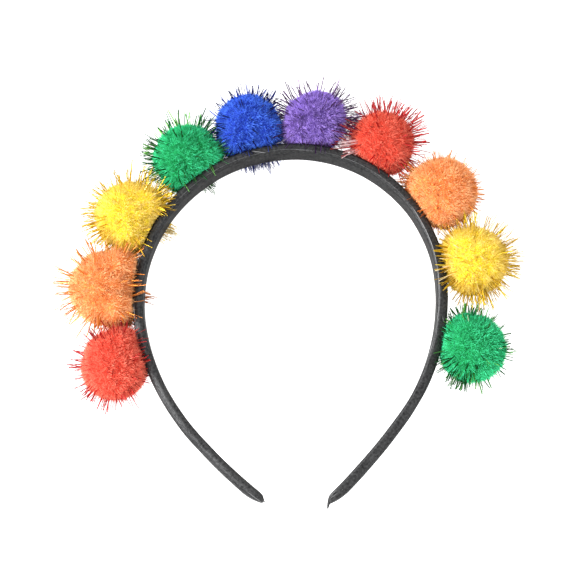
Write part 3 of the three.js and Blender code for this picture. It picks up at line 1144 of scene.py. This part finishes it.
class Ball:
    """The dense heart of a pompom, just under its pile, pressed flat where something is in its way."""

    def __init__(self, strip, order):
        self.row = POMPOMS[order]
        self.name = self.row["name"]
        self.seed = Vector((order * BALL_SEED[0], order * BALL_SEED[1], 0.0))
        self.centre, self.outward, self.core = ball_place(strip, order)
        to_strip = self.row["stand"] - strip.thickness / 2 - GLUE_GAP
        self.limits = [(-UP, BAND_HEIGHT), (-self.outward, to_strip)]
        self.beside = []
        for other in neighbours(order):
            centre, _, core = ball_place(strip, other)
            across = centre - self.centre
            space = across.length - self.core - core
            towards = across.normalized()
            self.limits.append((towards, self.core + space / 2))
            self.beside.append((towards, 1 if other > order else 0))

    def reach(self, way, sink):
        """Distance from the centre to the surface in one direction, in millimetres."""
        reach = self.core - sink
        reach += sum(lump["height"] * noise.noise(way * lump["count"] + self.seed) for lump in LUMPS)
        inward = smooth_share(-way.dot(self.outward), *FACING["strip"])
        for towards, after in self.beside:
            facing = way.dot(towards)
            reach += self.row["feet"][after] * inward * smooth_share(facing, *FACING["foot"])
            reach += self.row["spreads"][after] * smooth_share(facing, *FACING["push"])
        for towards, distance in self.limits:
            facing = way.dot(towards)
            if facing > 0:
                reach = min(reach, (distance - PRESSED_PILE) / facing)
        return reach

    def thick(self, way, more, facing):
        """How thickly tinsel grows in one direction."""
        patch = THICK["patches"] * noise.noise(way * THICK["count"] + self.seed * 2)
        patch = max(THICK["least"], 1.0 + patch)
        between = max(smooth_share(way.dot(towards), *FACING["between"]) for towards, _ in self.beside)
        low = smooth_share(-way.z, *FACING["low"])
        beneath = low * smooth_share(-way.dot(self.outward), *FACING["inner"])
        thick = max(0.0, patch + more + THICK["between"] * between)
        return thick * (1.0 - THICK["less_on_face"] * facing) * (1.0 - beneath)

    def long(self, way, longer, facing):
        """How long tinsel grows in one direction."""
        patch = LONG["patches"] * noise.noise(way * LONG["count"] + self.seed * 3)
        long = max(LONG["least"], LONG["usual"] + patch + longer)
        return long * (1.0 - LONG["less_on_face"] * facing)

    def mesh(self, sink):
        """The ball's mesh, with how tinsel grows at each of its vertices."""
        bm = bmesh.new()
        bmesh.ops.create_icosphere(bm, subdivisions=BALL_STEPS, radius=1.0)
        thick = bm.verts.layers.float.new("thick_growth")
        long = bm.verts.layers.float.new("long_growth")
        flash = bm.verts.layers.float.new("flash")
        sweep = bm.verts.layers.float_vector.new("sweep")
        face_painted_light = COLOURS[colour_of(self.name)]["face_painted_light"]
        for vertex in bm.verts:
            way = vertex.co.normalized()
            facing = smooth_share(abs(way.z), *FACING["face"])
            more, longer = added(TUFTS[self.name], way, "more", "longer")
            (brighter,) = added(FLASHES.get(self.name, ()), way, "flash")
            level = Vector((way.x, way.y, 0.0)).normalized()
            vertex.co = (self.centre + way * self.reach(way, sink)) * MM
            vertex[thick] = self.thick(way, more, facing)
            vertex[long] = self.long(way, longer, facing)
            # Painted light and shade of the tinsel, by tufts and by how far the vertex faces up or down.
            vertex[flash] = brighter + face_painted_light * facing
            vertex[sweep] = level * (FACE_SWEEP * smooth_share(way.z, *FACING["face"]))
            for tuft in UNDER_TUFTS.get(self.name, ()):
                share = tuft_share(tuft, way)
                vertex[thick] += tuft["more"] * share
                vertex[long] += tuft["longer"] * share
                vertex[sweep] += direction(tuft["bearing"], -tuft["rise"]) * UNDER_SWEEP * share
        for face in bm.faces:
            face.smooth = True
        return mesh_from(bm, "ball")


def obstacle(strip, order):
    """What a pompom's fibres stay clear of: the floor, the strip and the balls beside it."""
    bm = bmesh.new()
    bmesh.ops.create_grid(bm, x_segments=1, y_segments=1, size=FLOOR_REACH)
    bm.from_mesh(frame["nodes"]["band"].data)
    for beside in neighbours(order):
        centre, _, core = ball_place(strip, beside)
        place = Matrix.Translation(centre * MM)
        radius = (core - BESIDE_INSET) * MM
        bmesh.ops.create_icosphere(bm, subdivisions=3, radius=radius, matrix=place)
    return mesh_object("keep_clear", mesh_from(bm, "keep_clear"))


# What a user would change.


def colour_property(name, description, default):
    """A colour in the sidebar."""
    shown = {"name": name, "description": description, "subtype": "COLOR"}
    return FloatVectorProperty(**shown, default=default, min=0.0, max=1.0)


def number_property(name, description, default, **kind):
    """A number in the sidebar."""
    return FloatProperty(name=name, description=description, default=default, **kind)


def length_property(name, description, default):
    """A length in the sidebar, given in millimetres."""
    return number_property(name, description, default * MM, unit="LENGTH", precision=5)


class HeadbandStrip(bpy.types.PropertyGroup):
    """Sizes and colours of the covered strip."""

    width: length_property("Width", "Width of the covered strip", 10.0)
    thickness: length_property("Thickness", "Thickness of the covered strip", 4.0)
    corner: length_property("Corner", "Radius of the strip's long edges", 1.1)
    weave_pitch: length_property("Weave pitch", "Distance between ribs of the ribbon's weave", 0.5)
    ribbon_colour: colour_property("Ribbon", "Colour of the satin", (0.029, 0.0295, 0.0305))
    # The selvedge colour is the woven edge's own paleness and a painted highlight.
    selvedge_and_highlight_colour: colour_property("Selvedge", "Colour of the worn woven edge", (0.26, 0.26, 0.265))


class HeadbandPompoms(bpy.types.PropertyGroup):
    """Sizes and colours of the pompoms."""

    fibres: IntProperty(name="Fibres", description="Pile fibres on each pompom", default=17000, min=100)
    pile_length: length_property("Pile length", "Length of a pile fibre, with its root", 1.7)
    pile_width: length_property("Pile width", "Width of a pile fibre at its root", 0.285)
    pile_lean: number_property("Pile lean", "How much clumps of pile lean", 1.3, min=0.0)
    pile_sink: length_property("Pile sink", "Depth of the dense heart below the pile's tips", 1.3)
    tinsel_root: length_property("Tinsel root", "Length of a strand inside the pile", 2.0)
    tinsel_bend: number_property("Tinsel bend", "How much a strand bends", 0.14, min=0.0)


for colour_name, colour_row in COLOURS.items():
    for colour_part, wording in COLOUR_PARTS.items():
        HeadbandPompoms.__annotations__[f"{colour_name}_{colour_part}"] = colour_property(
            f"{colour_name.title()} {colour_part}",
            wording.format(colour_name),
            colour_row[colour_part],
        )


class HeadbandStage(bpy.types.PropertyGroup):
    """Camera, light and floor."""

    distance: length_property("Distance", "Camera to the middle of the headband", 520.0)
    elevation: number_property(
        "Elevation",
        "Camera's angle above the floor",
        math.radians(76.0),
        subtype="ANGLE",
    )
    lens: number_property("Lens", "Focal length of the camera", 81.25, unit="CAMERA")
    key_power: number_property("Key light", "Power of the lamp on the left", 16.0, unit="POWER")
    fill_power: number_property("Fill light", "Power of the lamp on the open side", 9.0, unit="POWER")
    sky: number_property("Sky", "Strength of the white light all round", 1.25)
    floor_glow: number_property("Floor glow", "Light that the floor gives by itself", 1.1)
    floor_colour: colour_property("Floor", "Colour of the floor", (0.35, 0.35, 0.35))


class HEADBAND_OT_strip(bpy.types.Operator):
    """Make the satin-covered strip in place of its solid"""

    bl_idname = "headband.strip"
    bl_label = "Make Strip"

    def execute(self, context):
        settings = context.scene.headband_strip
        strip = Strip(settings.thickness / MM)
        bm = bmesh.new()
        uv_layer = bm.loops.layers.uv.new("ribbon")
        add_strip_body(bm, strip, settings, uv_layer)
        for lane in SELVEDGES:
            add_selvedge(bm, strip, settings, uv_layer, lane)
        for end in LOOSE_ENDS:
            add_loose_end(bm, strip, settings, uv_layer, end)
        bmesh.ops.recalc_face_normals(bm, faces=bm.faces)
        mesh = mesh_from(bm, "satin_strip")
        mesh.materials.append(ribbon_material(settings))
        mesh.materials.append(selvedge_material(settings))
        piece = mesh_object("satin_strip", mesh)
        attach(piece, "root")
        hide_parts("band")
        return {"FINISHED"}


class HEADBAND_OT_pompoms(bpy.types.Operator):
    """Make the ten tinsel pompoms in place of their solids"""

    bl_idname = "headband.pompoms"
    bl_label = "Make Pompoms"

    def execute(self, context):
        settings = context.scene.headband_pompoms
        strip = Strip(context.scene.headband_strip.thickness / MM)
        tree = pompom_tree()
        materials = {colour: pompom_materials(colour, settings) for colour in COLOURS}
        for order, row in enumerate(POMPOMS):
            self.make(strip, order, settings, tree, materials[colour_of(row["name"])])
        return {"FINISHED"}

    def make(self, strip, order, settings, tree, materials):
        """One pompom: its ball, then pile and tinsel on it."""
        row = POMPOMS[order]
        sink = settings.pile_sink / MM
        piece = mesh_object(f"tinsel_pompom_{row['name']}", Ball(strip, order).mesh(sink))
        around = obstacle(strip, order)
        area = 4 * math.pi * ((row["core"] - sink) * MM) ** 2
        modifier = piece.modifiers.new("Tinsel pompom", "NODES")
        modifier.node_group = tree
        values = {
            "Pile Density": settings.fibres / area,
            "Pile Length": settings.pile_length,
            "Pile Width": settings.pile_width,
            "Pile Lean": settings.pile_lean,
            # The pompom's painted light or shade, against others of its colour.
            "Pile Painted Light": row["tone"],
            "Tinsel Density": row["strands"] / area,
            "Tinsel Length": row["strand"] * MM,
            "Tinsel Root": settings.tinsel_root,
            "Tinsel Width": row["foil"] * MM,
            "Tinsel Bend": settings.tinsel_bend,
            "Seed": order + 1,
            "Keep Clear Of": around,
            "Pile Material": materials[0],
            "Tinsel Material": materials[1],
        }
        for name, value in values.items():
            set_input(modifier, name, value)
        made_plain(piece)
        add_bake_map(piece.data)
        bpy.data.objects.remove(around)
        if len(piece.data.polygons) < settings.fibres:
            raise RuntimeError(f"{row['name']} has too few fibres")
        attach(piece, "root")
        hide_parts(f"pompom_{row['name']}")


class HEADBAND_OT_stage(bpy.types.Operator):
    """Make the floor, the lights and the camera"""

    bl_idname = "headband.stage"
    bl_label = "Make Stage"

    def execute(self, context):
        settings = context.scene.headband_stage
        self.make_floor(settings)
        self.make_lights(context, settings)
        self.make_camera(context, settings)
        context.scene.view_settings.view_transform = "Standard"
        return {"FINISHED"}

    def make_floor(self, settings):
        """A plain pale floor just under the pile."""
        bm = bmesh.new()
        bmesh.ops.create_circle(bm, cap_ends=True, segments=FLOOR_SIDES, radius=FLOOR_RADIUS)
        for vertex in bm.verts:
            vertex.co.z = -FLOOR_DROP
        mesh = mesh_from(bm, "floor")
        material, nodes, shader = new_material("pale_floor")
        nodes.feed(shader, {
            "Base Color": (*settings.floor_colour, 1.0),
            "Roughness": 0.8,
            "Specular IOR Level": 0.1,
            "Emission Color": (*WHITE, 1.0),
            "Emission Strength": settings.floor_glow,
        })
        mesh.materials.append(material)
        mesh_object("floor", mesh)

    def make_lights(self, context, settings):
        """White light all round, a soft lamp on the left, and one on the open side that isn't mirrored."""
        world = bpy.data.worlds.new("white_studio")
        world.use_nodes = True
        background = world.node_tree.nodes["Background"]
        background.inputs["Color"].default_value = (*WHITE, 1.0)
        background.inputs["Strength"].default_value = settings.sky
        context.scene.world = world
        self.make_lamp(context, "key", settings.key_power)
        fill = self.make_lamp(context, "fill", settings.fill_power)
        fill.visible_glossy = False

    def make_lamp(self, context, name, power):
        """A round soft lamp that faces the headband."""
        place = Vector(LAMPS[name]["place"])
        lamp = bpy.data.lights.new(name, "AREA")
        lamp.shape = "DISK"
        lamp.size = LAMPS[name]["size"]
        lamp.energy = power
        light = bpy.data.objects.new(name, lamp)
        light.location = place
        light.rotation_euler = (-place).to_track_quat("-Z", "Y").to_euler()
        context.scene.collection.objects.link(light)
        return light

    def make_camera(self, context, settings):
        """Camera above the open side of the headband, looking down on it."""
        way = Vector((0.0, -math.cos(settings.elevation), math.sin(settings.elevation)))
        camera = bpy.data.cameras.new("camera")
        camera.lens = settings.lens
        camera.sensor_width = 36.0
        camera.clip_start = 0.01
        camera.clip_end = 20.0
        eye = bpy.data.objects.new("camera", camera)
        eye.location = Vector(AIM) * MM + way * settings.distance
        eye.rotation_euler = (-way).to_track_quat("-Z", "Y").to_euler()
        context.scene.collection.objects.link(eye)
        context.scene.camera = eye


class HEADBAND_PT_sidebar(bpy.types.Panel):
    """Steps and sizes of the headband"""

    bl_label = "Pompom Headband"
    bl_idname = "HEADBAND_PT_sidebar"
    bl_space_type = "VIEW_3D"
    bl_region_type = "UI"
    bl_category = "Headband"

    def draw(self, context):
        for group_name, step in STEPS.items():
            box = self.layout.box()
            box.operator(step["operator"].bl_idname)
            group = getattr(context.scene, group_name)
            for name in group.__annotations__:
                box.prop(group, name)


STEPS = {
    "headband_strip": {"group": HeadbandStrip, "operator": HEADBAND_OT_strip},
    "headband_pompoms": {"group": HeadbandPompoms, "operator": HEADBAND_OT_pompoms},
    "headband_stage": {"group": HeadbandStage, "operator": HEADBAND_OT_stage},
}
CLASSES = (
    HeadbandStrip,
    HeadbandPompoms,
    HeadbandStage,
    HEADBAND_OT_strip,
    HEADBAND_OT_pompoms,
    HEADBAND_OT_stage,
    HEADBAND_PT_sidebar,
)


def register():
    """Adds the classes and the settings to Blender."""
    for item in CLASSES:
        bpy.utils.register_class(item)
    for name, step in STEPS.items():
        setattr(bpy.types.Scene, name, PointerProperty(type=step["group"]))


def unregister():
    """Takes the settings and the classes out again."""
    for name in STEPS:
        delattr(bpy.types.Scene, name)
    for item in reversed(CLASSES):
        bpy.utils.unregister_class(item)


def main():
    """Makes every piece and the stage."""
    register()
    bpy.ops.headband.stage()
    bpy.ops.headband.strip()
    bpy.ops.headband.pompoms()


if __name__ == "__main__":
    main()
